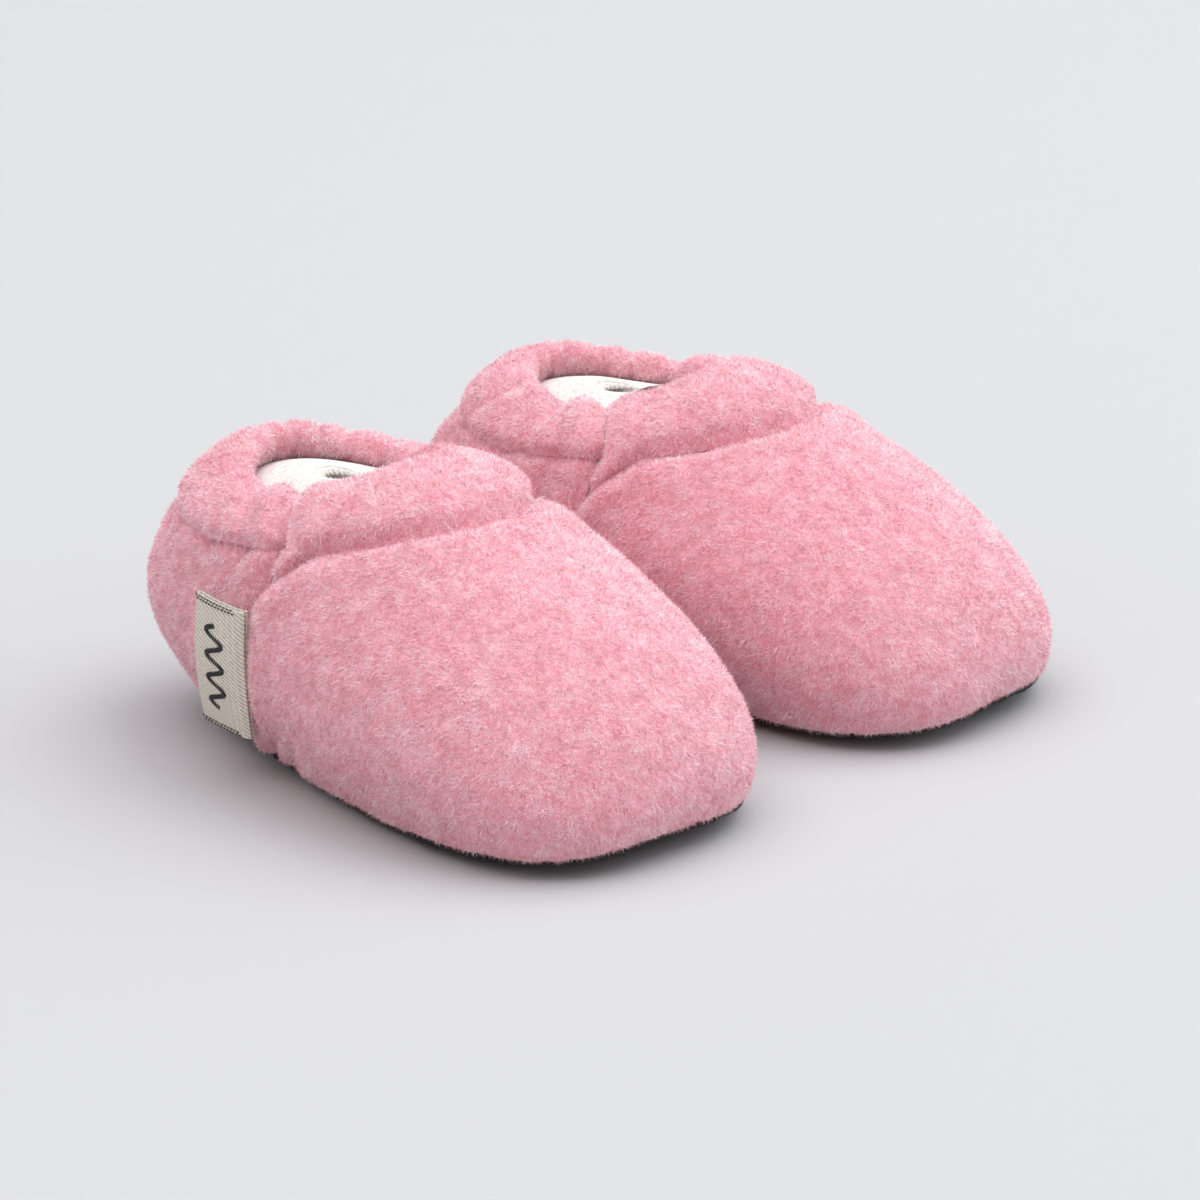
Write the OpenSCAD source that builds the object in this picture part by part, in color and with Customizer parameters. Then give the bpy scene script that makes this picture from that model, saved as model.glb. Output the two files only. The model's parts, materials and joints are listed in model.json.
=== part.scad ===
// Pair of soft baby booties: fleece upper with an elastic collar, waffle
// lining, padded non-slip sole and a folded side label on each.
// Millimetres, +Z up, toes point to -Y, the wearer's right bootie is at -X.
//
// One skin function gives every point of the upper. Its arguments are the
// turn round the foot (0 toe, 90 inner side, 180 heel), the height along the
// wall (0 sole edge, 1 collar seam, 2 collar crest, 3 inside collar edge)
// and the depth under the outer face. Each layer is a block of that space.

/* [Part] */
// sub-part to build, or all of them

/* [Sole] */
// length of the sole outline, toe to heel
sole_l = 110; // [90:1:135]
// length of the rear part of the sole, behind the turn of the side seams
heel_l = 54; // [45:0.5:64.5]
// width of the sole across the toes
ball_w = 61.6; // [52:0.4:74]
// width of the sole across the heel
heel_w = 38; // [32:1:46]
// thickness of the non-slip outsole
outsole_t = 1.6; // [1.2:0.1:2.2]
// thickness of the foam pad
pad_t = 2.5; // [1.5:0.1:3.5]
// thickness of the quilted insole
insole_t = 1.2; // [0.8:0.1:1.6]

/* [Upper] */
// height of the collar seam over the instep
upper_h = 46.8; // [39:0.4:56]
// height of the collar seam at the sides
seam_side_h = 39.2; // [33:0.2:47]
// height of the collar seam at the heel
seam_heel_h = 39.3; // [33:0.2:47]
// width across the collar seam
ankle_w = 51.4; // [43:0.4:61]
// length of the collar seam ring ahead of its middle
seam_front = 36.7; // [31:0.2:44]
// length of the collar seam ring behind its middle
seam_rear = 32.9; // [28:0.2:39]
// overhang of the collar seam beyond the heel end of the sole
heel_over = 2; // [1.6:0.1:2.4]
// thickness of the fleece
fleece_t = 2.5; // [2:0.1:3]
// thickness of the lining
lining_t = 1.0; // [0.7:0.1:1.2]

/* [Collar] */
// rise of the collar above its seam, over the instep
collar_h = 5.3; // [4.4:0.1:6.4]
// rise of the collar above its seam, at the heel
collar_rear_h = 9.1; // [7.6:0.1:10.9]
// width of the mouth between collar crests
mouth_w = 30.4; // [26:0.4:36]
// length of the mouth ahead of the middle of the collar
mouth_front = 17.9; // [15:0.2:21]
// length of the mouth behind the middle of the collar
mouth_rear = 19.5; // [16.4:0.2:23.4]
// thickness of the whole folded collar
collar_t = 6.0; // [5.2:0.1:7]
// thickness of the elastic inside the collar
elastic_t = 1.0; // [0.8:0.1:1.2]

/* [Label] */
// width of the label tape, measured up the side seam
label_w = 24; // [20:0.4:28.8]
// length of the folded label that shows
label_l = 9.6; // [8:0.2:11.4]
// thickness of the folded label
label_t = 1.0; // [0.8:0.1:1.2]

/* [Pair] */
// clear space between the two soles at the ball
pair_gap = 12; // [10:1:30]
// angle each toe points outwards
toe_out = 4.6; // [0:0.2:9]

/* [Hidden] */
toe_l = sole_l - heel_l;
squareness = 0.62;
sole_skew = 0.3;
edge_z = 2.6;
toe_lift = 2.4;
heel_lift = 4.7;

seam_y = heel_l + heel_over - seam_rear;
collar_side_h = collar_h + 1.1;

low_swell = [7.6, 9.0, 12.2];
low_rise = [15, 13.9, 14.8];
top_swell = [25.6, 5.2, 10.5];
top_drop = [6, 14.7, 8.8];
collar_swell = 3;
crest_r = 3.2;

seam_low = 115;
seam_high = 70;
label_lean = 14;
label_clear = 0.35;

gap = 0.25;
elastic_clear = 0.5;
collar_wall = (collar_t - elastic_t) / 2 - elastic_clear;
tape_d = fleece_t + gap;
tape_t = min(0.9, collar_t - collar_wall - tape_d - gap);
lining_d = tape_d + tape_t + gap;
pad_inset = fleece_t + 0.8;

front_turns = [for (i = [0 : 22]) -89.5 + i * 179 / 22];
rear_turns = [for (i = [0 : 14]) 90.5 + i * 179 / 14];
inner_rows = [0.12, 0.25, 0.38, 0.5, 0.62, 0.74, 0.85, 0.93];
wall_rows = concat([0], inner_rows, [0.993]);
lining_rows = concat(inner_rows, [0.985]);
collar_rows = [1.02, 1.25, 1.5, 1.75, 1.9, 2, 2.1, 2.3, 2.6, 2.96];
elastic_rows = [1.15, 1.4, 1.65];
round_turns = [for (i = [0 : 39]) i * 9];
up = [0, 0, 1];

pair_x = ball_w / 2 + pair_gap / 2;
heel_back = 3.87;
pair_y = (toe_l - heel_l) / 2 - heel_back;

// ---------- measures ----------

function unit(v) = v / max(norm(v), 0.0001);

function spread(v, e) = pow(abs(v), e);

// value that runs smoothly from toe to side to heel
function around(a, toe, side, heel) =
    let (swing = ((toe + heel) / 2 - side) / 2)
    side + swing + (toe - heel) / 2 * cos(a) + swing * cos(2 * a);

function around3(a, v) = around(a, v[0], v[1], v[2]);

function bezier(a, b, c, d, t) =
    pow(1 - t, 3) * a + 3 * t * pow(1 - t, 2) * b
    + 3 * t * t * (1 - t) * c + pow(t, 3) * d;

function sole_edge_z(a) = around(a, edge_z + toe_lift, edge_z, edge_z + heel_lift);

// sole outline, a rounded box wider at the ball than at the heel
function outline(a) =
    let (
        m = 2 / squareness,
        fit = pow(spread(cos(a), m) + spread(sin(a), m), -1 / m),
        c = cos(a) * fit,
        s = sin(a) * fit,
        k = (c + 1) / 2,
        blend = k * k * (3 - 2 * k),
        half = (heel_w + (ball_w - heel_w) * blend) / 2
    )
    [half * s + sole_skew * around(a, 1, 0, -0.3), -(c > 0 ? toe_l : heel_l) * c, 0];

function outline_normal(a) =
    let (run = outline(a + 0.2) - outline(a - 0.2))
    unit([-run[1], run[0], 0]) * -1;

function ring_point(a, half_w, front, rear, z) =
    [half_w * sin(a), seam_y - (cos(a) > 0 ? front : rear) * cos(a), z];

function seam_point(a) =
    ring_point(a, ankle_w / 2, seam_front, seam_rear,
        around(a, upper_h, seam_side_h, seam_heel_h));

function crest_point(a) =
    ring_point(a, mouth_w / 2, mouth_front, mouth_rear,
        around(a, upper_h + collar_h, seam_side_h + collar_side_h,
            seam_heel_h + collar_rear_h));

// ---------- the skin ----------

// turn on the sole that belongs to turn u at height t, so that the side
// seam leans forwards as it rises
function lean(u, t) =
    let (
        side = seam_low + (seam_high - seam_low) * min(t, 1),
        v = u > 180 ? u - 360 : u
    )
    abs(v) <= 90 ? v / 90 * side : sign(v) * (180 - (180 - abs(v)) / 90 * (180 - side));

function skin(u, t, d) =
    let (
        a = lean(u, t),
        base = outline(a) + up * sole_edge_z(a),
        seam = seam_point(a),
        n = outline_normal(a),
        spoke = unit([seam[0], seam[1] - seam_y, 0]),
        swell = around3(a, top_swell),
        drop = around3(a, top_drop),
        low_n = unit(n + 0.35 * up),
        seam_n = unit(drop * spoke + swell * up)
    )
    t <= 1
        ? bezier(
            base - d * n,
            base + n * around3(a, low_swell) + up * around3(a, low_rise) - d * low_n,
            seam + swell * spoke - drop * up - d * seam_n,
            seam - d * seam_n,
            t)
        : collar_skin(crest_point(a), seam, spoke, seam_n, t, d);

function collar_skin(crest, seam, spoke, seam_n, t, d) =
    let (
        rise = crest - (seam - seam_n * collar_t / 2),
        h = norm(rise),
        axis = rise / h,
        side = unit(axis[2] * spoke - (axis * spoke) * up),
        cap = side * (crest_r - 0.7 * d) - axis * d,
        inside = seam - seam_n * collar_t
    )
    t <= 2
        ? bezier(
            seam - seam_n * d,
            seam + axis * 0.35 * h + side * (collar_swell - d),
            crest + cap,
            crest - axis * d,
            t - 1)
        : bezier(
            crest - axis * d,
            crest - side * (crest_r - 0.7 * d) - axis * d,
            inside + axis * 0.35 * h - side * (0.5 * collar_swell - d),
            inside + seam_n * d,
            t - 2);

// ---------- solids from grids ----------

// two triangles of a four-cornered patch
function patch(a, b, c, d) = [[a, b, c], [a, c, d]];

// closed block between two depths; wraps round when ring is true
module skin_block(turns, rows, d0, d1, ring = false)
{
    nu = len(turns);
    nt = len(rows);
    n = nu * nt;
    cols = ring ? nu : nu - 1;
    points = [for (d = [d0, d1]) for (u = turns) for (t = rows) skin(u, t, d)];
    sides = [
        for (i = [0 : cols - 1]) for (j = [0 : nt - 2])
            let (
                a = i * nt + j,
                b = ((i + 1) % nu) * nt + j
            )
            each concat(
                patch(a, a + 1, b + 1, b),
                patch(n + a, n + b, n + b + 1, n + a + 1)
            )
    ];
    rims = [
        for (i = [0 : cols - 1])
            let (
                a = i * nt,
                b = ((i + 1) % nu) * nt,
                e = a + nt - 1,
                f = b + nt - 1
            )
            each concat(
                patch(a, b, n + b, n + a),
                patch(f, e, n + e, n + f)
            )
    ];
    ends = ring ? [] : [
        for (j = [0 : nt - 2])
            let (z = (nu - 1) * nt + j)
            each concat(
                patch(j + 1, j, n + j, n + j + 1),
                patch(z, z + 1, n + z + 1, n + z)
            )
    ];
    polyhedron(points, concat(sides, rims, ends), convexity = 8);
}

// share of the edge lift that reaches ring r of a sole plate
function curl(r) = r > 0.6 ? pow((r - 0.6) / 0.4, 2) : 0;

function plate_point(a, r, inset, z) =
    let (edge = outline(a) - inset * outline_normal(a))
    [edge[0] * r, edge[1] * r, z + (sole_edge_z(a) - 1.9) * curl(r)];

// sole plate that curls up to the sole edge, from height z0 to z1
module plate(inset, z0, z1, rings)
{
    na = len(round_turns);
    nr = len(rings);
    n = na * nr;
    points = concat(
        [for (z = [z0, z1]) for (r = rings) for (a = round_turns)
            plate_point(a, r, inset, z)],
        [[0, 0, z0], [0, 0, z1]]
    );
    faces = [
        for (i = [0 : na - 1])
            let (k = (i + 1) % na)
            each concat(
                [[2 * n, i, k], [2 * n + 1, n + k, n + i]],
                patch(n - na + i, n + n - na + i, n + n - na + k, n - na + k),
                [for (j = [0 : nr - 2])
                    each concat(
                        patch(j * na + i, (j + 1) * na + i, (j + 1) * na + k, j * na + k),
                        patch(n + j * na + i, n + j * na + k,
                            n + (j + 1) * na + k, n + (j + 1) * na + i)
                    )]
            )
    ];
    polyhedron(points, faces, convexity = 4);
}

// ring of square section under the edge of the upper
module edge_ring(d0, d1, drop0, drop1)
{
    na = len(round_turns);
    points = [
        for (a = round_turns)
            let (n = outline_normal(a), base = outline(a) + up * sole_edge_z(a))
            each [
                base - n * d0 - up * drop1,
                base - n * d0 - up * drop0,
                base - n * d1 - up * drop0,
                base - n * d1 - up * drop1
            ]
    ];
    faces = [
        for (i = [0 : na - 1]) for (j = [0 : 3])
            let (
                a = i * 4 + j,
                b = i * 4 + (j + 1) % 4,
                c = ((i + 1) % na) * 4 + (j + 1) % 4,
                d = ((i + 1) % na) * 4 + j
            )
            each patch(a, b, c, d)
    ];
    polyhedron(points, faces, convexity = 4);
}

// ---------- one right bootie, about its own middle ----------

module outsole()
{
    difference() {
        plate(1.5, -0.3, outsole_t, [0.6, 0.75, 0.88, 1]);
        translate([-sole_l, -sole_l, -20]) cube([2 * sole_l, 2 * sole_l, 20]);
    }
}

module insole_pad()
{
    plate(pad_inset, outsole_t + gap, outsole_t + gap + pad_t, [0.6, 0.8, 1]);
}

module insole()
{
    z0 = outsole_t + gap + pad_t + gap;
    plate(pad_inset, z0, z0 + insole_t, [0.6, 0.8, 1]);
}

module vamp()
{
    skin_block(front_turns, wall_rows, 0, fleece_t);
}

module vamp_lining()
{
    skin_block(front_turns, lining_rows, lining_d, lining_d + lining_t);
}

module heel_quarter()
{
    skin_block(rear_turns, wall_rows, 0, fleece_t);
}

module heel_lining()
{
    skin_block(rear_turns, lining_rows, lining_d, lining_d + lining_t);
}

module front_collar()
{
    skin_block(front_turns, collar_rows, 0, collar_wall);
}

module heel_collar()
{
    skin_block(rear_turns, collar_rows, 0, collar_wall);
}

module front_elastic()
{
    d = collar_wall + elastic_clear;
    skin_block(front_turns, elastic_rows, d, d + elastic_t);
}

module heel_elastic()
{
    d = collar_wall + elastic_clear;
    skin_block(rear_turns, elastic_rows, d, d + elastic_t);
}

module collar_seam()
{
    skin_block(concat(front_turns, rear_turns), [0.965, 1, 1.1],
        tape_d, tape_d + tape_t, ring = true);
}

module side_seams()
{
    for (u = [90, 270])
        skin_block([u - 3, u, u + 3], inner_rows, tape_d, tape_d + tape_t);
}

module sole_seam()
{
    edge_ring(0.1, 1.2, 0.25, 1.7);
}

// folded tape that hangs off the outer side seam and lies back, just clear
// of the heel quarter where that swells most
module label()
{
    t = 0.48;
    tangent = skin(270, t + 0.05, 0) - skin(270, t - 0.05, 0);
    back = skin(268, t, 0) - skin(270, t, 0);
    rise = unit(tangent);
    out = unit(cross(rise, back));
    run = cos(label_lean) * unit(back - (back * rise) * rise) + sin(label_lean) * out;
    face = cross(rise, run);
    root = skin(270, t, 0) + out * (label_t / 2 + label_clear) - rise * label_w / 2;
    multmatrix([
        [run[0], face[0], rise[0], root[0]],
        [run[1], face[1], rise[1], root[1]],
        [run[2], face[2], rise[2], root[2]],
        [0, 0, 0, 1]
    ])
    linear_extrude(label_w) label_section();
}

module label_section()
{
    slot = 0.2;
    difference() {
        union() {
            translate([0, -label_t / 2]) square([label_l - label_t / 2, label_t]);
            translate([label_l - label_t / 2, 0]) circle(d = label_t, $fn = 32);
        }
        translate([-1, -slot / 2]) square([label_l - label_t / 2 + 1, slot]);
    }
}

// ---------- placing the pair ----------

module on_right()
{
    translate([-pair_x, pair_y, 0]) rotate([0, 0, -toe_out]) children();
}

module on_left()
{
    mirror([1, 0, 0]) on_right() children();
}

// ---------- sub-parts ----------

module right_outsole() { color([0.12, 0.11, 0.12]) on_right() outsole(); }
module right_insole_pad() { color([0.9, 0.88, 0.8]) on_right() insole_pad(); }
module right_insole() { color([0.95, 0.93, 0.92]) on_right() insole(); }
module right_vamp() { color([0.93, 0.68, 0.73]) on_right() vamp(); }
module right_vamp_lining() { color([0.95, 0.93, 0.92]) on_right() vamp_lining(); }
module right_heel_quarter() { color([0.93, 0.68, 0.73]) on_right() heel_quarter(); }
module right_heel_lining() { color([0.95, 0.93, 0.92]) on_right() heel_lining(); }
module right_front_collar() { color([0.94, 0.71, 0.76]) on_right() front_collar(); }
module right_heel_collar() { color([0.94, 0.71, 0.76]) on_right() heel_collar(); }
module right_front_elastic() { color([0.97, 0.97, 0.95]) on_right() front_elastic(); }
module right_heel_elastic() { color([0.97, 0.97, 0.95]) on_right() heel_elastic(); }
module right_collar_seam() { color([0.85, 0.58, 0.63]) on_right() collar_seam(); }
module right_side_seams() { color([0.85, 0.58, 0.63]) on_right() side_seams(); }
module right_sole_seam() { color([0.2, 0.18, 0.19]) on_right() sole_seam(); }
module right_label() { color([0.82, 0.78, 0.71]) on_right() label(); }

module left_outsole() { color([0.12, 0.11, 0.12]) on_left() outsole(); }
module left_insole_pad() { color([0.9, 0.88, 0.8]) on_left() insole_pad(); }
module left_insole() { color([0.95, 0.93, 0.92]) on_left() insole(); }
module left_vamp() { color([0.93, 0.68, 0.73]) on_left() vamp(); }
module left_vamp_lining() { color([0.95, 0.93, 0.92]) on_left() vamp_lining(); }
module left_heel_quarter() { color([0.93, 0.68, 0.73]) on_left() heel_quarter(); }
module left_heel_lining() { color([0.95, 0.93, 0.92]) on_left() heel_lining(); }
module left_front_collar() { color([0.94, 0.71, 0.76]) on_left() front_collar(); }
module left_heel_collar() { color([0.94, 0.71, 0.76]) on_left() heel_collar(); }
module left_front_elastic() { color([0.97, 0.97, 0.95]) on_left() front_elastic(); }
module left_heel_elastic() { color([0.97, 0.97, 0.95]) on_left() heel_elastic(); }
module left_collar_seam() { color([0.85, 0.58, 0.63]) on_left() collar_seam(); }
module left_side_seams() { color([0.85, 0.58, 0.63]) on_left() side_seams(); }
module left_sole_seam() { color([0.2, 0.18, 0.19]) on_left() sole_seam(); }
module left_label() { color([0.82, 0.78, 0.71]) on_left() label(); }

right_outsole();
right_insole_pad();
right_insole();
right_vamp();
right_vamp_lining();
right_heel_quarter();
right_heel_lining();
right_front_collar();
right_heel_collar();
right_front_elastic();
right_heel_elastic();
right_collar_seam();
right_side_seams();
right_sole_seam();
right_label();
left_outsole();
left_insole_pad();
left_insole();
left_vamp();
left_vamp_lining();
left_heel_quarter();
left_heel_lining();
left_front_collar();
left_heel_collar();
left_front_elastic();
left_heel_elastic();
left_collar_seam();
left_side_seams();
left_sole_seam();
left_label();
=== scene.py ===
"""Looks of a pair of fleece baby booties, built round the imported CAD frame.

Every visible piece comes from one skin function: the turn round the foot
(0 toe, 90 inner side, 180 heel), the height along the wall (0 sole edge,
1 collar seam, 2 collar crest, 3 inner collar edge) and the depth under the
outer face. Sizes are in millimetres until a mesh is made.
"""

import json
import math

import bpy
import numpy as np
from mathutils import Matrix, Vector

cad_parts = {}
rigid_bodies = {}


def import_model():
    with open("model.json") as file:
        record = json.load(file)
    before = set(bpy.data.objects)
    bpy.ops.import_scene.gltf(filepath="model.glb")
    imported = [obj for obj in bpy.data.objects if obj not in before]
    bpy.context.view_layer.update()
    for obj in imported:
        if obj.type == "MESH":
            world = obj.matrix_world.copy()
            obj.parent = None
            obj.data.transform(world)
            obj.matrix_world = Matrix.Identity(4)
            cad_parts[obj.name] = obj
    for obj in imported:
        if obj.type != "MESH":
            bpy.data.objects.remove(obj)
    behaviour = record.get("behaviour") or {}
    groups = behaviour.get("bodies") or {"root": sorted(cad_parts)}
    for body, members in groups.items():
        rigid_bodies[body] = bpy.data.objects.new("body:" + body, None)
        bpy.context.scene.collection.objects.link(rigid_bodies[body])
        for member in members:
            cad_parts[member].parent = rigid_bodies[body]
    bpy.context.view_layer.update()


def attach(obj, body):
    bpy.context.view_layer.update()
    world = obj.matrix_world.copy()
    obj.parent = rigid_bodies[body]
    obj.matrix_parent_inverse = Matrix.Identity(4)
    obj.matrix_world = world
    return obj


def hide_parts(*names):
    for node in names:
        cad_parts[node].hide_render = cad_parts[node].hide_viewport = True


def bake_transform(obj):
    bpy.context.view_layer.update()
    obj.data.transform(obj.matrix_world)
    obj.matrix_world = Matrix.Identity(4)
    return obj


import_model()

MM = 0.001
SIDES = ("right", "left")

# ---------- driving sizes, as in the CAD ----------

SOLE_L = 110.0
BALL_W = 61.6
HEEL_W = 38.0
UPPER_H = 46.8
ANKLE_W = 51.4
COLLAR_H = 5.3
COLLAR_REAR_H = 9.1
MOUTH_W = 30.4
COLLAR_T = 6.0
COLLAR_WALL = 2.0
FLEECE_T = 2.5
LINING_D = 3.9
LINING_T = 1.0
OUTSOLE_T = 1.6
INSOLE_Z = 4.6
INSOLE_T = 1.2
LABEL_W = 24.0
LABEL_L = 9.6
LABEL_T = 1.0
LABEL_TURN = 270.0
LABEL_ROW = 0.48
LABEL_LEAN = 14.0
LABEL_CLEAR = 0.35
LABEL_TUCK = 1.2
LABEL_FOLD_R = 0.34
LABEL_CUT = 2 * (LABEL_L - LABEL_FOLD_R + LABEL_TUCK) + math.pi * LABEL_FOLD_R
PAIR_GAP = 12.0
TOE_OUT = 4.6

HEEL_L = 54.0
TOE_L = SOLE_L - HEEL_L
SQUARENESS = 0.62
SOLE_SKEW = 0.3
EDGE_Z = 2.6
TOE_LIFT = 2.4
HEEL_LIFT = 4.7
SEAM_FRONT = 36.7
SEAM_REAR = 32.9
HEEL_OVER = 2.0
SEAM_Y = HEEL_L + HEEL_OVER - SEAM_REAR
SEAM_SIDE_H = 39.2
SEAM_HEEL_H = 39.3
MOUTH_FRONT = 17.9
MOUTH_REAR = 19.5
COLLAR_SIDE_H = COLLAR_H + 1.1
LOW_SWELL = (7.6, 9.0, 12.2)
LOW_RISE = (15.0, 13.9, 14.8)
TOP_SWELL = (25.6, 5.2, 10.5)
TOP_DROP = (6.0, 14.7, 8.8)
COLLAR_SWELL = 3.0
CREST_R = 3.2
SEAM_LOW = 115.0
SEAM_HIGH = 70.0
PAIR_X = BALL_W / 2 + PAIR_GAP / 2
PAIR_Y = (TOE_L - HEEL_L) / 2 - 3.87

UP = np.array([0.0, 0.0, 1.0])


# ---------- the skin ----------

def unit(v):
    return v / np.maximum(np.linalg.norm(v, axis=-1, keepdims=True), 1e-9)


def around(a, toe, side, heel):
    """A value that runs smoothly from toe to side to heel."""
    swing = ((toe + heel) / 2 - side) / 2
    return side + swing + (toe - heel) / 2 * np.cos(a) + swing * np.cos(2 * a)


def outline(a):
    power = 2 / SQUARENESS
    fit = (np.abs(np.cos(a)) ** power + np.abs(np.sin(a)) ** power) ** (-1 / power)
    c, s = np.cos(a) * fit, np.sin(a) * fit
    k = (c + 1) / 2
    half = (HEEL_W + (BALL_W - HEEL_W) * k * k * (3 - 2 * k)) / 2
    x = half * s + SOLE_SKEW * around(a, 1, 0, -0.3)
    y = -np.where(c > 0, TOE_L, HEEL_L) * c
    return np.stack([x, y, 0 * c], -1)


def outline_normal(a):
    run = outline(a + 0.0035) - outline(a - 0.0035)
    return unit(np.stack([run[..., 1], -run[..., 0], 0 * run[..., 0]], -1))


def sole_edge_z(a):
    return around(a, EDGE_Z + TOE_LIFT, EDGE_Z, EDGE_Z + HEEL_LIFT)


def ring_point(a, half_w, front, rear, z):
    y = SEAM_Y - np.where(np.cos(a) > 0, front, rear) * np.cos(a)
    return np.stack([half_w * np.sin(a), y, z], -1)


def lean(u, t):
    """Turn on the sole for turn u (degrees) at height t: the side seam leans."""
    side = np.radians(SEAM_LOW + (SEAM_HIGH - SEAM_LOW) * np.minimum(t, 1))
    v = (u + 180) % 360 - 180
    rear = np.sign(v) * (np.pi - (180 - np.abs(v)) / 90 * (np.pi - side))
    return np.where(np.abs(v) <= 90, v / 90 * side, rear)


def bezier(a, b, c, d, t):
    t = t[..., None]
    return (1 - t) ** 3 * a + 3 * t * (1 - t) ** 2 * b + 3 * t * t * (1 - t) * c + t ** 3 * d


def skin(u, t, d):
    u, t, d = np.broadcast_arrays(np.asarray(u, float), np.asarray(t, float), np.asarray(d, float))
    a = lean(u, t)
    deep = d[..., None]
    base = outline(a) + UP * sole_edge_z(a)[..., None]
    seam_z = around(a, UPPER_H, SEAM_SIDE_H, SEAM_HEEL_H)
    seam = ring_point(a, ANKLE_W / 2, SEAM_FRONT, SEAM_REAR, seam_z)
    crest_z = around(a, UPPER_H + COLLAR_H, SEAM_SIDE_H + COLLAR_SIDE_H, SEAM_HEEL_H + COLLAR_REAR_H)
    crest = ring_point(a, MOUTH_W / 2, MOUTH_FRONT, MOUTH_REAR, crest_z)
    n = outline_normal(a)
    spoke = unit((seam - np.array([0, SEAM_Y, 0])) * np.array([1, 1, 0]))
    swell = around(a, *TOP_SWELL)[..., None]
    drop = around(a, *TOP_DROP)[..., None]
    low_n = unit(n + 0.35 * UP)
    seam_n = unit(drop * spoke + swell * UP)
    wall = bezier(
        base - deep * n,
        base + n * around(a, *LOW_SWELL)[..., None] + UP * around(a, *LOW_RISE)[..., None] - deep * low_n,
        seam + swell * spoke - drop * UP - deep * seam_n,
        seam - deep * seam_n,
        np.clip(t, 0, 1),
    )
    rise = crest - (seam - seam_n * COLLAR_T / 2)
    h = np.linalg.norm(rise, axis=-1, keepdims=True)
    axis = rise / h
    side = unit(axis[..., 2:3] * spoke - (axis * spoke).sum(-1, keepdims=True) * UP)
    cap = CREST_R - 0.7 * deep
    inside = seam - seam_n * COLLAR_T
    outer = bezier(
        seam - seam_n * deep,
        seam + axis * 0.35 * h + side * (COLLAR_SWELL - deep),
        crest + side * cap - axis * deep,
        crest - axis * deep,
        np.clip(t - 1, 0, 1),
    )
    inner = bezier(
        crest - axis * deep,
        crest - side * cap - axis * deep,
        inside + axis * 0.35 * h - side * (0.5 * COLLAR_SWELL - deep),
        inside + seam_n * deep,
        np.clip(t - 2, 0, 1),
    )
    t = t[..., None]
    return np.where(t <= 1, wall, np.where(t <= 2, outer, inner))


def place(p, side):
    """Points of one bootie, in mm about its own middle, as metres in the row frame."""
    w = math.radians(-TOE_OUT)
    x = math.cos(w) * p[..., 0] - math.sin(w) * p[..., 1] - PAIR_X
    y = math.sin(w) * p[..., 0] + math.cos(w) * p[..., 1] + PAIR_Y
    if side == "left":
        x = -x
    return np.stack([x, y, p[..., 2]], -1) * MM


# ---------- noise ----------

def hashed(i, seed):
    h = (i[..., 0] * 374761393 + i[..., 1] * 668265263 + i[..., 2] * 1440662683 + seed * 974634777) & 0xFFFFFFFF
    h = ((h ^ (h >> 13)) * 1274126177) & 0xFFFFFFFF
    h = ((h ^ (h >> 16)) * 2246822519) & 0xFFFFFFFF
    return ((h ^ (h >> 15)) & 0xFFFFFF) / 0x7FFFFF - 1


TILT = np.array([[0.80, 0.36, 0.48], [-0.60, 0.48, 0.64], [0.0, -0.8, 0.6]])


def noise(p, size, seed=0):
    """Smooth noise from -1 to 1 with lumps about size across."""
    q = (p @ TILT) / size + 100.37
    cell = np.floor(q).astype(np.int64)
    f = q - cell
    f = f * f * (3 - 2 * f)
    total = 0
    for corner in range(8):
        step = np.array([corner & 1, corner >> 1 & 1, corner >> 2 & 1])
        weight = np.prod(np.where(step, f, 1 - f), -1)
        total = total + weight * hashed(cell + step, seed)
    return total


# ---------- meshes ----------

def grid_normals(p):
    du = np.gradient(p, axis=0)
    dt = np.gradient(p, axis=1)
    return unit(np.cross(du, dt))


def run_lengths(p, axis):
    """Distance along the grid from the first and from the last line."""
    step = np.linalg.norm(np.diff(p, axis=axis), axis=-1)
    pad = [(0, 0), (0, 0)]
    pad[axis] = (1, 0)
    first = np.pad(np.cumsum(step, axis=axis), pad)
    total = np.take(first, [-1], axis=axis)
    return first, total - first


def make_object(name, points, faces, material, side, body, uv=None):
    """Mesh object from points in the row frame, riding on a body."""
    if side == "left":
        faces = [f[::-1] for f in faces]
    mesh = bpy.data.meshes.new(name)
    mesh.from_pydata([tuple(p) for p in points], [], [tuple(f) for f in faces])
    mesh.materials.append(material)
    mesh.shade_smooth()
    if uv is not None:
        layer = mesh.uv_layers.new(name="OFBake")
        loops = np.empty(len(mesh.loops), np.int32)
        mesh.loops.foreach_get("vertex_index", loops)
        layer.uv.foreach_set("vector", uv[loops].astype(np.float32).ravel())
    obj = bpy.data.objects.new(name, mesh)
    bpy.context.scene.collection.objects.link(obj)
    if body:
        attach(obj, body)
    return obj


def quads(nu, nt, first=0, flip=False, wrap=False):
    i, j = np.meshgrid(np.arange(nu if wrap else nu - 1), np.arange(nt - 1), indexing="ij")
    i, j = i.ravel(), j.ravel()
    k = (i + 1) % nu
    f = np.stack([i * nt + j, k * nt + j, k * nt + j + 1, i * nt + j + 1], -1) + first
    return f[:, ::-1] if flip else f


def border(nu, nt, step=1):
    """Grid places round the edge, in one direction, every step-th one."""
    low = [(i, 0) for i in range(0, nu - 1, step)]
    right = [(nu - 1, j) for j in range(0, nt - 1, step)]
    high = [(i, nt - 1) for i in range(nu - 1, 0, -step)]
    left = [(0, j) for j in range(nt - 1, 0, -step)]
    return low + right + high + left


COARSE = 4


def even(first, last, size, step):
    """Evenly spread values, a whole number of coarse cells plus one."""
    cells = max(COARSE, int(round(size / step / COARSE)) * COARSE)
    return np.linspace(first, last, cells + 1)


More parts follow.
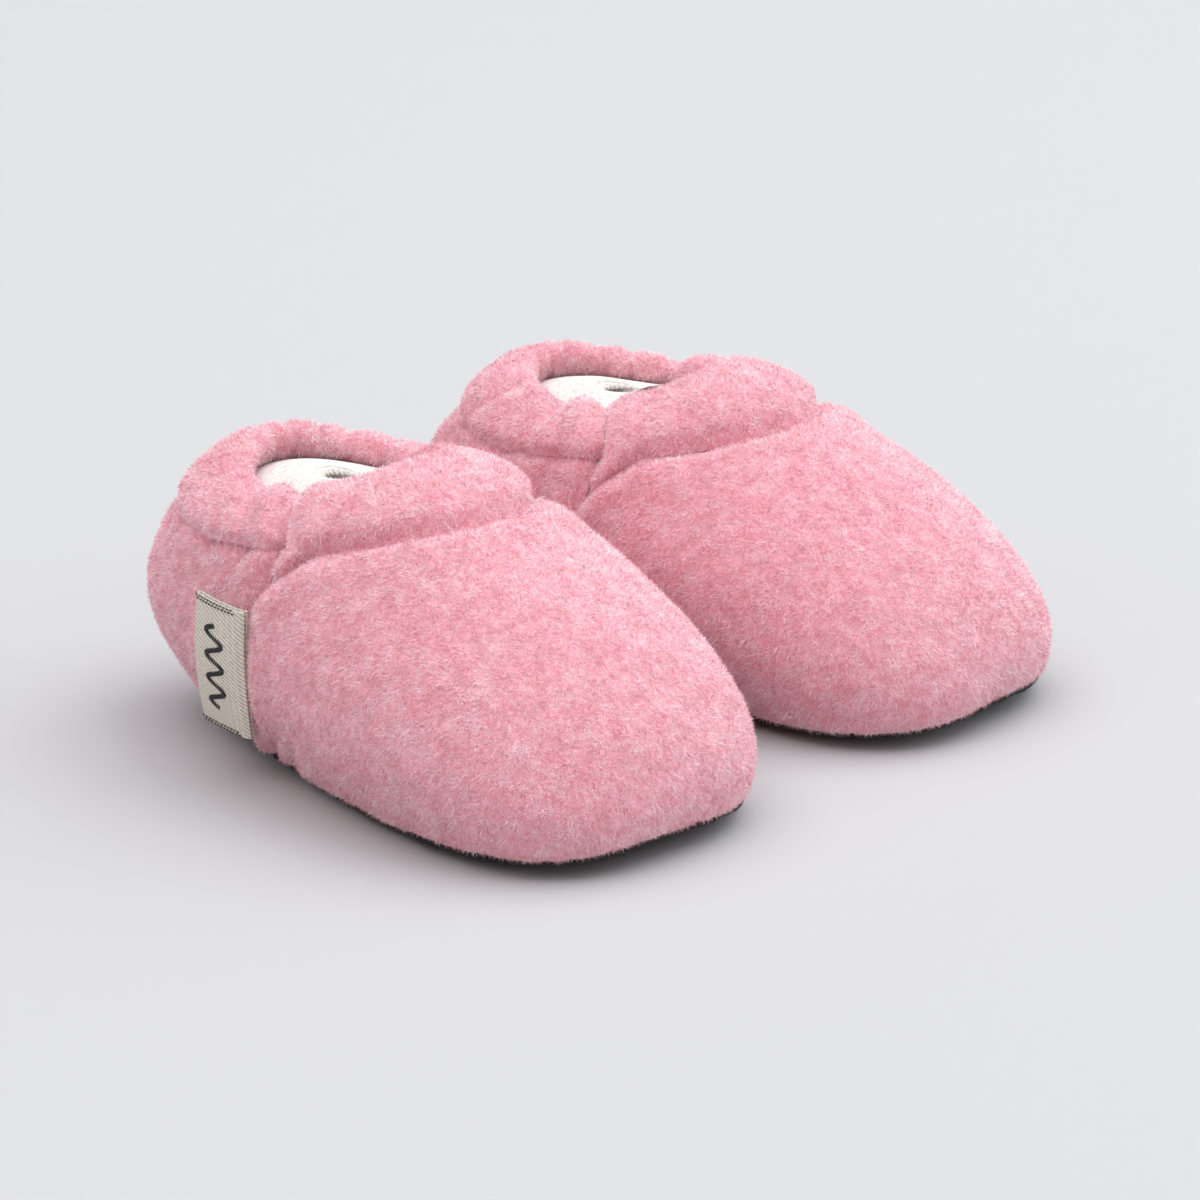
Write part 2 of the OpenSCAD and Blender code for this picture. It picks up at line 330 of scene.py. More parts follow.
def shell(name, us, vs, face, height, back, material, side, body, grain, inward=False):
    """Closed panel: a fine shown face, rolled edges and a coarse hidden face.

    face(u, v, depth) gives points, height(edge) the rise of the shown face,
    grain(p) its fine relief and back the depth of the hidden face. inward is
    for a panel that is seen from inside. Returns the object and the shown
    face's points, outward normals and distances to its edges, in mm."""
    u, v = np.meshgrid(us, vs, indexing="ij")
    plain = face(u, v, 0.0)
    left, right = run_lengths(plain, 0)
    low, high = run_lengths(plain, 1)
    width = left[-1].mean()
    edge = dict(low=low, high=high, side=np.minimum(left, right), width=width, p=plain,
                along=(u - us[0]) / (us[-1] - us[0]) * width)
    sense = -1 if inward else 1
    h = height(edge)
    p = face(u, v, -sense * h)
    n = grid_normals(p) * sense
    p = p + n * grain(p)[..., None]
    n = grid_normals(p) * sense
    nu, nt = u.shape
    inner = face(u[::COARSE, ::COARSE], v[::COARSE, ::COARSE], back)
    mu, mt = inner.shape[:2]
    points = np.concatenate([p.reshape(-1, 3), inner.reshape(-1, 3)])
    first = nu * nt
    faces = quads(nu, nt).tolist() + quads(mu, mt, first, flip=True).tolist()
    fine = [i * nt + j for i, j in border(nu, nt)]
    rough = [first + i // COARSE * mt + j // COARSE for i, j in border(nu, nt, COARSE)]
    count = len(rough)
    for k in range(count):
        a, b = rough[k], rough[(k + 1) % count]
        f = [fine[(COARSE * k + s) % len(fine)] for s in range(COARSE + 1)]
        half = COARSE // 2
        faces += [(f[s + 1], f[s], a) for s in range(half)]
        faces.append((f[half], a, b))
        faces += [(f[s + 1], f[s], b) for s in range(half, COARSE)]
    if inward:
        faces = [f[::-1] for f in faces]
    tall = low[:, -1].mean()
    scale = 0.98 / max(width, tall / 0.84)
    uv = np.stack([0.01 + edge["along"] * scale, 0.01 + (v - vs[0]) / (vs[-1] - vs[0]) * tall * scale], -1)
    iu, it = np.meshgrid(np.linspace(0.01, 0.3, mu), np.linspace(0.88, 0.99, mt), indexing="ij")
    uv = np.concatenate([uv.reshape(-1, 2), np.stack([iu, it], -1).reshape(-1, 2)])
    obj = make_object(name, place(points, side), faces, material, side, body, uv)
    return obj, p, n, edge


def pile(name, p, n, density, length, width, shade, materials, side, body, seed, lie=0.9):
    """Short fibres over a grid: p and n are its points and normals in mm.

    density is fibres per square mm, length a grid of lengths in mm, lie how
    far they lean, and shade a grid that picks lighter or darker fibres."""
    rng = np.random.default_rng(seed)
    a, b, c, d = p[:-1, :-1], p[1:, :-1], p[1:, 1:], p[:-1, 1:]
    area = (np.linalg.norm(np.cross(b - a, d - a), axis=-1)
            + np.linalg.norm(np.cross(b - c, d - c), axis=-1)) / 2
    chance = (area * density).ravel()
    chance *= min(1.0, 198000 / chance.sum())
    cell = np.repeat(np.arange(len(chance)), rng.poisson(chance))
    i, j = np.divmod(cell, p.shape[1] - 1)
    x, y = rng.random(len(cell)), rng.random(len(cell))

    def mixed(g):
        w = x[:, None] if g.ndim == 3 else x
        v = y[:, None] if g.ndim == 3 else y
        return ((1 - w) * (1 - v) * g[i, j] + w * (1 - v) * g[i + 1, j]
                + w * v * g[i + 1, j + 1] + (1 - w) * v * g[i, j + 1])

    root, normal = mixed(p), unit(mixed(n))
    reach = (mixed(length) * rng.uniform(0.55, 1.25, len(cell)))[:, None]
    along = unit(np.cross(normal, rng.normal(size=(len(cell), 3))))
    swirl = np.stack([noise(root, 2.4, seed + k) for k in range(3)], -1)
    along = unit(along + 0.6 * (swirl - (swirl * normal).sum(-1, keepdims=True) * normal))
    tilt = rng.uniform(0.55, 1.05, (len(cell), 1)) * lie
    way = unit(normal * (1.15 - tilt) + along * tilt)
    across = unit(np.cross(normal, way)) * (width * rng.uniform(0.7, 1.3, (len(cell), 1)) / 2)
    start = root - normal * 0.15
    verts = np.stack([start + across, start - across, start + way * reach], 1).reshape(-1, 3)
    tris = np.arange(len(verts)).reshape(-1, 3)
    if side == "left":
        tris = tris[:, ::-1]
    mesh = bpy.data.meshes.new(name)
    mesh.vertices.add(len(verts))
    mesh.vertices.foreach_set("co", place(verts, side).astype(np.float32).ravel())
    mesh.loops.add(tris.size)
    mesh.loops.foreach_set("vertex_index", tris.astype(np.int32).ravel())
    mesh.polygons.add(len(tris))
    mesh.polygons.foreach_set("loop_start", np.arange(0, tris.size, 3, dtype=np.int32))
    mesh.polygons.foreach_set("loop_total", np.full(len(tris), 3, np.int32))
    for m in materials:
        mesh.materials.append(m)
    tone = mixed(shade) + rng.normal(0, 0.32, len(cell))
    level = np.clip(np.floor((tone + 1) / 2 * len(materials)), 0, len(materials) - 1).astype(np.int32)
    mesh.polygons.foreach_set("material_index", level)
    mesh.update(calc_edges=True)
    mesh.validate()
    mesh.shade_smooth()
    obj = bpy.data.objects.new(name, mesh)
    bpy.context.scene.collection.objects.link(obj)
    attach(obj, body)
    return obj


def threads(name, paths, radius, material, side, body):
    """Tubes with pointed ends along paths of points in mm, all in one piece."""
    points, faces = [], []
    ring = 6
    for path in paths:
        path = np.asarray(path, float)
        run = unit(np.gradient(path, axis=0))
        first = unit(np.cross(run, UP + 0.01))
        second = np.cross(run, first)
        count = len(path)
        size = radius * np.sin(np.linspace(0.18, math.pi - 0.18, count)) ** 0.35
        start = len(points)
        for k in range(count):
            for q in range(ring):
                w = 2 * math.pi * q / ring
                points.append(path[k] + size[k] * (first[k] * math.cos(w) + second[k] * math.sin(w)))
        for k in range(count - 1):
            for q in range(ring):
                r = (q + 1) % ring
                faces.append((start + k * ring + q, start + k * ring + r,
                              start + (k + 1) * ring + r, start + (k + 1) * ring + q))
        faces.append(tuple(start + q for q in range(ring))[::-1])
        faces.append(tuple(start + (count - 1) * ring + q for q in range(ring)))
    return make_object(name, place(np.array(points), side), faces, material, side, body)


# ---------- materials ----------

def linear(r, g, b):
    """Linear colour from the 0 to 255 display values."""
    return tuple(((c / 255 + 0.055) / 1.055) ** 2.4 if c > 10 else c / 255 / 12.92 for c in (r, g, b))


def new_material(name):
    m = bpy.data.materials.new(name)
    m.use_nodes = True
    m.node_tree.nodes.clear()
    out = m.node_tree.nodes.new("ShaderNodeOutputMaterial")
    shader = m.node_tree.nodes.new("ShaderNodeBsdfPrincipled")
    m.node_tree.links.new(shader.outputs[0], out.inputs[0])
    return m, m.node_tree, shader


def maths(tree, kind, a, b=None, c=None):
    node = tree.nodes.new("ShaderNodeMath")
    node.operation = kind
    for k, value in enumerate((a, b, c)):
        if value is None:
            continue
        if isinstance(value, (int, float)):
            node.inputs[k].default_value = value
        else:
            tree.links.new(value, node.inputs[k])
    return node.outputs[0]


def ramp(tree, source, *stops):
    node = tree.nodes.new("ShaderNodeValToRGB")
    while len(node.color_ramp.elements) < len(stops):
        node.color_ramp.elements.new(0.5)
    for element, (where, colour) in zip(node.color_ramp.elements, stops):
        element.position = where
        element.color = (*colour, 1)
    tree.links.new(source, node.inputs[0])
    return node.outputs[0]


def noise_node(tree, size, detail=3.0):
    """Noise output with lumps about size mm across."""
    where = tree.nodes.new("ShaderNodeTexCoord")
    node = tree.nodes.new("ShaderNodeTexNoise")
    node.inputs["Scale"].default_value = 1 / (size * MM)
    node.inputs["Detail"].default_value = detail
    tree.links.new(where.outputs["Object"], node.inputs["Vector"])
    return node.outputs[0]


def bump(tree, shader, source, strength, distance):
    node = tree.nodes.new("ShaderNodeBump")
    node.inputs["Strength"].default_value = strength
    node.inputs["Distance"].default_value = distance
    tree.links.new(source, node.inputs["Height"])
    tree.links.new(node.outputs[0], shader.inputs["Normal"])


def finish_cloth(shader, rough, sheen, soft=0.0, shine=0.2):
    shader.inputs["Roughness"].default_value = rough
    shader.inputs["Specular IOR Level"].default_value = shine
    shader.inputs["Sheen Weight"].default_value = sheen
    shader.inputs["Sheen Roughness"].default_value = 0.6
    if soft:
        shader.inputs["Subsurface Weight"].default_value = soft
        shader.inputs["Subsurface Radius"].default_value = (1.0, 0.5, 0.45)
        shader.inputs["Subsurface Scale"].default_value = 2.0 * MM


def cloth_look(name, dark, mid, light, size, broad=0.15, rough=0.95, sheen=0.3, soft=0.0, bumpy=0.5):
    """Mottled cloth: three tones over a fine noise and a little broad noise."""
    m, tree, shader = new_material(name)
    fine = noise_node(tree, size)
    mixed = maths(tree, "MULTIPLY_ADD", fine, 1 - broad,
                  maths(tree, "MULTIPLY", noise_node(tree, size * 8, 2.0), broad))
    colour = ramp(tree, mixed, (0.36, dark), (0.5, mid), (0.64, light))
    tree.links.new(colour, shader.inputs["Base Color"])
    finish_cloth(shader, rough, sheen, soft)
    bump(tree, shader, fine, bumpy, 0.3 * MM)
    return m


def plain_fibre(name, colour, sheen=1.0, rough=0.5, shine=0.8):
    m, tree, shader = new_material(name)
    shader.inputs["Base Color"].default_value = (*colour, 1)
    finish_cloth(shader, rough, sheen, shine=shine)
    return m


def twill_look(name, dark, light, pitch):
    """Woven tape: slanted threads that turn back along the middle."""
    m, tree, shader = new_material(name)
    where = tree.nodes.new("ShaderNodeUVMap")
    where.uv_map = "OFBake"
    parts = tree.nodes.new("ShaderNodeSeparateXYZ")
    tree.links.new(where.outputs[0], parts.inputs[0])
    across = maths(tree, "ABSOLUTE", maths(tree, "SUBTRACT", parts.outputs[0], 0.25))
    slant = maths(tree, "ADD", across, maths(tree, "MULTIPLY", parts.outputs[1], 0.8))
    wave = maths(tree, "SINE", maths(tree, "MULTIPLY", slant, 2 * math.pi / pitch))
    grain = maths(tree, "MULTIPLY_ADD", wave, 0.25, noise_node(tree, 0.3))
    colour = ramp(tree, grain, (0.28, dark), (0.62, light))
    tree.links.new(colour, shader.inputs["Base Color"])
    finish_cloth(shader, 0.75, 0.1)
    bump(tree, shader, wave, 0.5, 0.05 * MM)
    return m


FLEECE = cloth_look("fleece", linear(232, 140, 158), linear(240, 164, 180), linear(248, 192, 204),
                    0.9, sheen=0.8, soft=0.2)
PILE = [plain_fibre("fleece_fibre_%d" % k, linear(*c)) for k, c in enumerate((
    (230, 134, 153), (238, 158, 174), (245, 184, 197), (251, 210, 218), (254, 236, 241)))]
LINING = cloth_look("waffle_cotton", linear(208, 201, 194), linear(224, 218, 212), linear(235, 231, 227),
                    0.7, sheen=0.2, soft=0.1)
LINT = [plain_fibre("cotton_fibre_%d" % k, linear(*c)) for k, c in enumerate((
    (236, 230, 225), (246, 243, 239), (252, 250, 248)))]
SOLE = cloth_look("sole_fabric", linear(16, 15, 16), linear(26, 24, 26), linear(42, 40, 42),
                  0.5, rough=0.85, sheen=0.1, bumpy=0.8)
SOLE_PILE = [plain_fibre("sole_fibre_%d" % k, linear(*c), 0.1, 0.9, 0.2) for k, c in enumerate((
    (18, 17, 18), (30, 28, 30), (52, 49, 51)))]
GRIP = cloth_look("grip_dots", linear(14, 13, 14), linear(20, 19, 20), linear(28, 26, 28),
                  0.4, rough=0.5, sheen=0.0)
FOAM = cloth_look("foam_pad", linear(220, 214, 196), linear(232, 227, 210), linear(240, 236, 222), 0.8)
ELASTIC = cloth_look("elastic", linear(226, 226, 222), linear(240, 240, 236), linear(248, 248, 246), 0.5)
THREAD = cloth_look("seam_thread", linear(206, 122, 142), linear(220, 140, 158), linear(232, 160, 175), 0.6)
TAPE = twill_look("label_tape", linear(184, 178, 166), linear(234, 228, 215), 0.026)
INK = cloth_look("label_thread", linear(20, 19, 24), linear(30, 29, 34), linear(46, 44, 50), 0.3)
COTTON = cloth_look("white_thread", linear(225, 220, 216), linear(240, 236, 232), linear(248, 246, 244), 0.4)


# ---------- uppers ----------

def sunk(distance, reach, deep):
    """How far a rounded edge has sunk, deep at its end and nothing past reach."""
    left = np.clip(1 - distance / reach, 0, 1)
    return deep * (1 - np.sqrt(np.maximum(1 - left ** 2, 0)))


def valley(distance, reach, deep):
    """A soft dip, deep at the edge and nothing past reach."""
    return deep * (0.5 + 0.5 * np.cos(math.pi * np.clip(distance / reach, 0, 1)))


def hill(distance, centre, width):
    return np.exp(-((distance - centre) / width) ** 2)


def lumps(p, seed):
    return 0.5 * noise(p, 17.0, seed) + 0.22 * noise(p, 7.0, seed + 1)


def fleece_grain(seed):
    def grain(p):
        return 0.13 * noise(p, 1.9, seed) + 0.10 * noise(p, 0.95, seed + 1)
    return grain


def puckers(e, seed, every, wide):
    """Uneven dents that the elastic draws up, about every so many mm."""
    rng = np.random.default_rng(seed)
    bend = 1.3 * noise(e["p"], 8.0, seed)
    total = 0
    for centre in np.arange(every / 2, e["width"], every):
        centre += rng.uniform(-0.3, 0.3) * every
        total = total + rng.uniform(0.2, 1.0) * hill(e["along"] + bend, centre, wide * rng.uniform(0.7, 1.4))
    return total


def seam_row(u, dip):
    """Height of the collar seam: the vamp panel's dips beside the side seam."""
    v = np.abs((u + 180) % 360 - 180)
    return 1 - dip * np.exp(-((90 - v) / 9.0) ** 2)


def wall_face(dip):
    def face(u, v, d):
        hem = 0.8 * np.exp(-(v / 0.035) ** 2)
        return skin(u, v * seam_row(u, dip), d) - UP * hem[..., None]
    return face


def collar_face(dip, end):
    def face(u, v, d):
        low = seam_row(u, dip)
        return skin(u, low + v * (end - low), d)
    return face


def vamp_height(seed):
    def height(e):
        h = lumps(e["p"], seed) + 0.8 * hill(e["high"], 5.0, 3.5) + 0.9 * hill(e["side"], 4.5, 3.0)
        low = np.clip(1 - e["low"] / 22, 0, 1)
        for where, width, deep in ((7.5, 1.5, 1.4), (13.5, 1.9, 1.1)):
            h -= deep * low * hill(e["side"], where + 3 * (1 - low), width)
        h -= valley(e["high"], 3.4, 1.9) + sunk(e["side"], 3.0, 1.5) + sunk(e["low"], 2.6, 1.2)
        return h
    return height


def beside_seam(e):
    """The valley, ridge and second dent of the cloth behind a side seam."""
    return 1.0 * hill(e["side"], 5.0, 2.0) - 0.7 * hill(e["side"], 9.5, 2.2)


def quarter_height(seed):
    def height(e):
        top = np.exp(-e["high"] / 9)
        h = lumps(e["p"], seed) + beside_seam(e) * (0.35 + 0.65 * top)
        h -= 1.1 * puckers(e, seed + 5, 9.0, 1.8) * top
        h -= valley(e["high"], 2.4, 0.9) + valley(e["side"], 3.6, 1.7) + sunk(e["low"], 2.6, 1.2)
        return h
    return height


def front_collar_height(seed):
    def height(e):
        h = 0.6 * lumps(e["p"], seed) + 0.6 * hill(e["low"], 5.5, 4.0) + 0.5 * hill(e["side"], 4.0, 3.0)
        h -= 0.25 * puckers(e, seed + 5, 8.0, 1.6) * np.clip(1 - e["high"] / 14, 0, 1)
        h -= valley(e["low"], 3.2, 1.7) + sunk(e["high"], 2.0, 1.4) + sunk(e["side"], 2.8, 1.2)
        return h
    return height


def heel_collar_height(seed):
    def height(e):
        h = 0.4 + 0.5 * lumps(e["p"], seed) + beside_seam(e)
        crest = hill(e["low"], 11.0, 5.0)
        h -= 1.5 * puckers(e, seed + 5, 6.8, 1.4) * np.clip(0.25 + e["side"] / 14, 0, 1) * (0.5 + 0.5 * crest)
        h -= valley(e["low"], 2.4, 0.9) + sunk(e["high"], 2.0, 1.4) + valley(e["side"], 3.4, 1.5)
        return h
    return height


GRID = 0.42
FRONT = (-89.95, 89.95)
REAR = (90.05, 269.95)
DIP = 0.13
PANELS = (
    ("vamp", FRONT, wall_face(DIP), 150, 56, vamp_height),
    ("heel_quarter", REAR, wall_face(0.0), 96, 44, quarter_height),
    ("front_collar", FRONT, collar_face(DIP, 2.64), 92, 28, front_collar_height),
    ("heel_collar", REAR, collar_face(0.0, 2.48), 84, 24, heel_collar_height),
)


def build_panel(side, kind, turns, face, around_mm, up_mm, height, seed):
    name = "%s_%s" % (side, kind)
    body = "%s_bootie" % side
    us = even(*turns, around_mm, GRID)
    vs = even(0.0, 1.0, up_mm, GRID)
    thick = COLLAR_WALL - 0.1 if "collar" in kind else FLEECE_T - 0.1
    obj, p, n, edge = shell(name + "_fleece", us, vs, face, height(seed), thick, FLEECE, side, body,
                            fleece_grain(seed + 9))
    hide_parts(name)
    near = np.minimum(np.minimum(edge["side"], edge["low"]), edge["high"])
    length = 1.2 * (0.8 + 0.2 * np.clip(near / 2.5, 0, 1))
    shade = 0.5 * noise(p, 1.3, seed + 20) + 0.15 * noise(p, 3.2, seed + 21) + 0.08
    if kind in ("vamp", "front_collar"):
        shade = shade + 0.9 * np.exp(-edge["side"] / 0.8)
    fuzz = pile(name + "_pile", p, n, 26, length, 0.15, shade, PILE, side, body, seed + 30)


def build_uppers():
    for s, side in enumerate(SIDES):
        for k, panel in enumerate(PANELS):
            build_panel(side, *panel, seed=100 + 400 * s + 50 * k)


# ---------- linings and insole ----------

def knit(x, y, pitch=(2.3, 1.5), high=0.75):
    """Rows of slanted grains, each row set off by half a grain."""
    row = y / pitch[1]
    shift = 0.5 * (np.floor(row) % 2) + 0.35 * (row % 1)
    a = np.abs(np.sin(math.pi * (x / pitch[0] + shift)))
    b = np.abs(np.sin(math.pi * row))
    return high * (a * b) ** 0.6


def lining_face(top):
    """Up the wall behind the cavity, then puffing out under the collar."""
    def face(u, v, d):
        bulge = around(np.radians(u), 2.5, 30.5, 30.0)[..., None]
        turn = 0.56
        wall = skin(u, 0.1 + 0.72 * np.clip(v / turn, 0, 1), LINING_D + LINING_T + d)
        start = skin(u, 0.82, LINING_D + LINING_T + d)
        before = skin(u, 0.75, LINING_D + LINING_T + d)
        end = skin(u, top, 1.0 - d)
        spoke = unit((start - np.array([0, SEAM_Y, 0])) * np.array([1, 1, 0]))
        one = start + unit(start - before) * (3.0 + 0.2 * bulge) - spoke * 0.7 * bulge
        two = end - spoke * bulge + UP * 0.3 * bulge
        s = np.clip((v - turn) / (1 - turn), 0, 1)
        roll = bezier(start, one, two, end, s)
        return np.where((v <= turn)[..., None], wall, roll)
    return face


def lining_height(e):
    return knit(e["along"], e["high"]) - sunk(e["side"], 0.8, 0.5)


def cotton_grain(p):
    return 0.05 * noise(p, 0.8, 7)


def build_linings():
    for side in SIDES:
        body = "%s_bootie" % side
        for kind, turns, mm, step, top in (
                ("vamp_lining", FRONT, 130, 0.6, 2.66), ("heel_lining", REAR, 84, 0.42, 2.50)):
            name = "%s_%s" % (side, kind)
            us = even(*turns, mm, step)
            vs = even(0.0, 1.0, 56, step)
            obj, p, n, _ = shell(name + "_cotton", us, vs, lining_face(top), lining_height, -LINING_T,
                                 LINING, side, body, cotton_grain, inward=True)
            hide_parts(name)
            if kind == "heel_lining":
                density, reach = (9, 0.8) if side == "right" else (4, 0.5)
                half = p.shape[1] // 2
                p, n = p[:, half:], n[:, half:]
                lint = pile(name + "_lint", p, n, density, np.full(p.shape[:2], reach), 0.10,
                            0.4 * noise(p, 1.0, 3), LINT, side, body, 77)


CURL_FROM = 0.6
CURL_DROP = 1.9


def edge_point(a, inset):
    return outline(a) - inset * outline_normal(a)


def curl(a, r):
    """How far the sole has curled up at share r of the way to its edge."""
    rise = np.where(r > CURL_FROM, ((r - CURL_FROM) / (1 - CURL_FROM)) ** 2, 0.0)
    return (sole_edge_z(a) - CURL_DROP) * rise


def plate_point(a, r, inset, z):
    edge = edge_point(a, inset)
    return np.stack([edge[..., 0] * r, edge[..., 1] * r, z + curl(a, r)], -1)


def plate(name, inset, rows, material, side, count=300, shape=None):
    """Closed plate from rings of (share of the outline, height in mm)."""
    a, k = np.meshgrid(np.linspace(0, 2 * math.pi, count, endpoint=False), np.arange(len(rows)), indexing="ij")
    rows = np.array(rows)
    p = plate_point(a, rows[k, 0], inset, rows[k, 1])
    if shape:
        p = shape(p, rows[k, 0], k)
    nt = len(rows)
    points = np.concatenate([p.reshape(-1, 3), [p[:, 0].mean(0)], [p[:, -1].mean(0)]])
    faces = quads(count, nt, wrap=True).tolist()
    low, high = count * nt, count * nt + 1
    for i in range(count):
        j = (i + 1) % count
        faces.append((low, j * nt, i * nt))
        faces.append((high, i * nt + nt - 1, j * nt + nt - 1))
    return make_object(name, place(points, side), faces, material, side, "%s_bootie" % side)


def build_insole(side):
    z0, z1 = INSOLE_Z, INSOLE_Z + INSOLE_T
    count = 88
    rows = [(0.02, z0), (0.5, z0), (0.9, z0), (0.985, z0), (1.0, z0 + 0.35), (1.0, z1 - 0.3)]
    top = len(rows)
    rows += [(r, z1) for r in np.linspace(0.992, 0.01, count)]

    def shape(p, r, k):
        shown = k >= top
        edge = sunk((1 - r) * 26, 1.5, 0.5)
        a = np.abs(np.sin(math.pi * (p[..., 0] + p[..., 1]) / 13))
        b = np.abs(np.sin(math.pi * (p[..., 0] - p[..., 1]) / 13))
        quilt = 0.7 * np.minimum(a, b) ** 0.5
        rise = knit(p[..., 0], p[..., 1]) * 0.7 + quilt - edge
        return p + np.where(shown, rise, 0)[..., None] * UP

    name = "%s_insole" % side
    obj = plate(name + "_cotton", FLEECE_T + 0.8, rows, LINING, side, 320, shape)
    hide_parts(name)


def build_outsole(side):
    name = "%s_outsole" % side
    recess, inset, face_rows = 0.3, 2.6, 60
    rows = [(r, recess) for r in np.linspace(0.02, 0.975, face_rows)]
    rows += [(0.985, 0.4), (1.0, 0.7), (1.0, OUTSOLE_T - 0.35), (0.99, OUTSOLE_T - 0.1), (0.9, OUTSOLE_T),
             (0.6, OUTSOLE_T), (0.02, OUTSOLE_T)]

    def shape(p, r, k):
        share = np.clip((r - CURL_FROM) / (1 - CURL_FROM), 0, 1) ** 2
        lift = np.where(k < face_rows, -recess * share, 0) + 0.05 * noise(p, 0.9, 5)
        p = p + lift[..., None] * UP
        p[..., 2] = np.maximum(p[..., 2], 0.02)
        return p

    obj = plate(name + "_fabric", inset, rows, SOLE, side, 360, shape)
    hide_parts(name)
    turn = np.linspace(0, 2 * math.pi, 721)
    rim = edge_point(turn, inset)
    bearing = np.unwrap(np.arctan2(rim[:, 0], -rim[:, 1]))
    reach = np.linalg.norm(rim, axis=1)
    pitch = 4.0
    points, faces = [], []
    rings, spokes = ((0.95, 0.55), (0.85, 0.15), (0.55, 0.0)), 12
    for row in range(-17, 18):
        for col in range(-9, 10):
            x, y = (col + 0.5 * (row % 2)) * pitch, row * pitch * 0.866
            at = math.atan2(x, -y) % (2 * math.pi)
            far = math.hypot(x, y)
            edge = np.interp(at, bearing, reach)
            if far > edge - 2.6:
                continue
            a = np.interp(at, bearing, turn)
            base = float(curl(np.array(a), np.array(far / edge))) * 0.93
            first = len(points)
            for size, z in rings:
                for s in range(spokes):
                    w = 2 * math.pi * s / spokes
                    points.append((x + size * math.cos(w), y + size * math.sin(w), max(base + z, 0.0)))
            points.append((x, y, max(base, 0.0)))
            for r in range(len(rings) - 1):
                for s in range(spokes):
                    q = (s + 1) % spokes
                    faces.append((first + r * spokes + q, first + r * spokes + s,
                                  first + (r + 1) * spokes + s, first + (r + 1) * spokes + q))
            last = first + (len(rings) - 1) * spokes
            faces += [(last + (s + 1) % spokes, last + s, len(points) - 1) for s in range(spokes)]
            faces.append(tuple(first + s for s in range(spokes)))
    dots = make_object(name + "_grip_dots", place(np.array(points), side), faces, GRIP, side, "%s_bootie" % side)


def build_sole_seam(side):
    """Overlocked edge under the upper: a cord wound with thread, and fuzz."""
    name = "%s_sole_seam" % side
    count, ring = 1400, 10
    a, w = np.meshgrid(np.linspace(0, 2 * math.pi, count, endpoint=False), np.linspace(0, 2 * math.pi, ring + 1),
                       indexing="ij")
    n = outline_normal(a)
    base = outline(a) + UP * sole_edge_z(a)[..., None]
    coil = 0.16 * np.abs(np.sin(a * 105 + w / 2))
    wander = 0.18 * noise(base, 4.0, 3)
    size = 0.5 + coil + 0.3 * wander
    p = (base - n * (0.8 - wander)[..., None] - UP * 0.75
         + n * (size * np.cos(w))[..., None] + UP * (size * np.sin(w))[..., None])
    points = p[:, :-1].reshape(-1, 3)
    i, j = np.meshgrid(np.arange(count), np.arange(ring), indexing="ij")
    i, j = i.ravel(), j.ravel()
    k, m = (i + 1) % count, (j + 1) % ring
    faces = np.stack([i * ring + j, k * ring + j, k * ring + m, i * ring + m], -1).tolist()
    obj = make_object(name + "_overlock", place(points, side), faces, SOLE, side, "%s_bootie" % side)
    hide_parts(name)
    closed = np.concatenate([p, p[:1]])
    normal = unit(closed - np.concatenate([base, base[:1]]) + UP + 0.75 * np.concatenate([n, n[:1]]))
    fuzz = pile(name + "_fuzz", closed, normal, 9, np.full(closed.shape[:2], 0.65), 0.12,
                noise(closed, 1.0, 8), SOLE_PILE, side, "%s_bootie" % side, 91, lie=0.8)


# ---------- label ----------

def label_frame():
    t = LABEL_ROW
    tangent = skin(LABEL_TURN, t + 0.05, 0) - skin(LABEL_TURN, t - 0.05, 0)
    back = skin(LABEL_TURN - 2, t, 0) - skin(LABEL_TURN, t, 0)
    rise = unit(tangent)
    out = unit(np.cross(rise, back))
    tilt = math.radians(LABEL_LEAN)
    run = math.cos(tilt) * unit(back - (back @ rise) * rise) + math.sin(tilt) * out
    root = skin(LABEL_TURN, t, 0) + out * (LABEL_T / 2 + LABEL_CLEAR) - rise * LABEL_W / 2
    return root, rise, run, np.cross(rise, run)


def label_point(s, w, lift):
    """Point of the folded tape: s along the tape from its hidden front end,
    over the fold and back, w up its width and lift off its middle."""
    root, rise, run, face = label_frame()
    r = LABEL_FOLD_R
    flat = LABEL_L - r + LABEL_TUCK
    arc = math.pi * r
    s = np.asarray(s, float)
    turn = np.clip((s - flat) / arc, 0, 1) * math.pi
    x = np.where(s <= flat, s, np.where(s <= flat + arc, flat + r * np.sin(turn), 2 * flat + arc - s)) - LABEL_TUCK
    y = r * np.cos(turn)
    nx, ny = np.sin(turn), np.cos(turn)
    x, y = x + nx * lift, y + ny * lift
    v = w / LABEL_W - 0.5
    bow = 1.3 * (0.25 - v * v) * 4 - 0.9
    away = 0.35 * np.sin(math.pi * np.clip(x / LABEL_L, 0, 1)) * (0.6 + 0.8 * v)
    tuck = -0.5 * np.clip(-x / LABEL_TUCK, 0, 1)
    lie = y + bow * (0.55 + 0.45 * x / LABEL_L) + away + tuck
    return root + rise * w[..., None] + run * x[..., None] + face * lie[..., None]


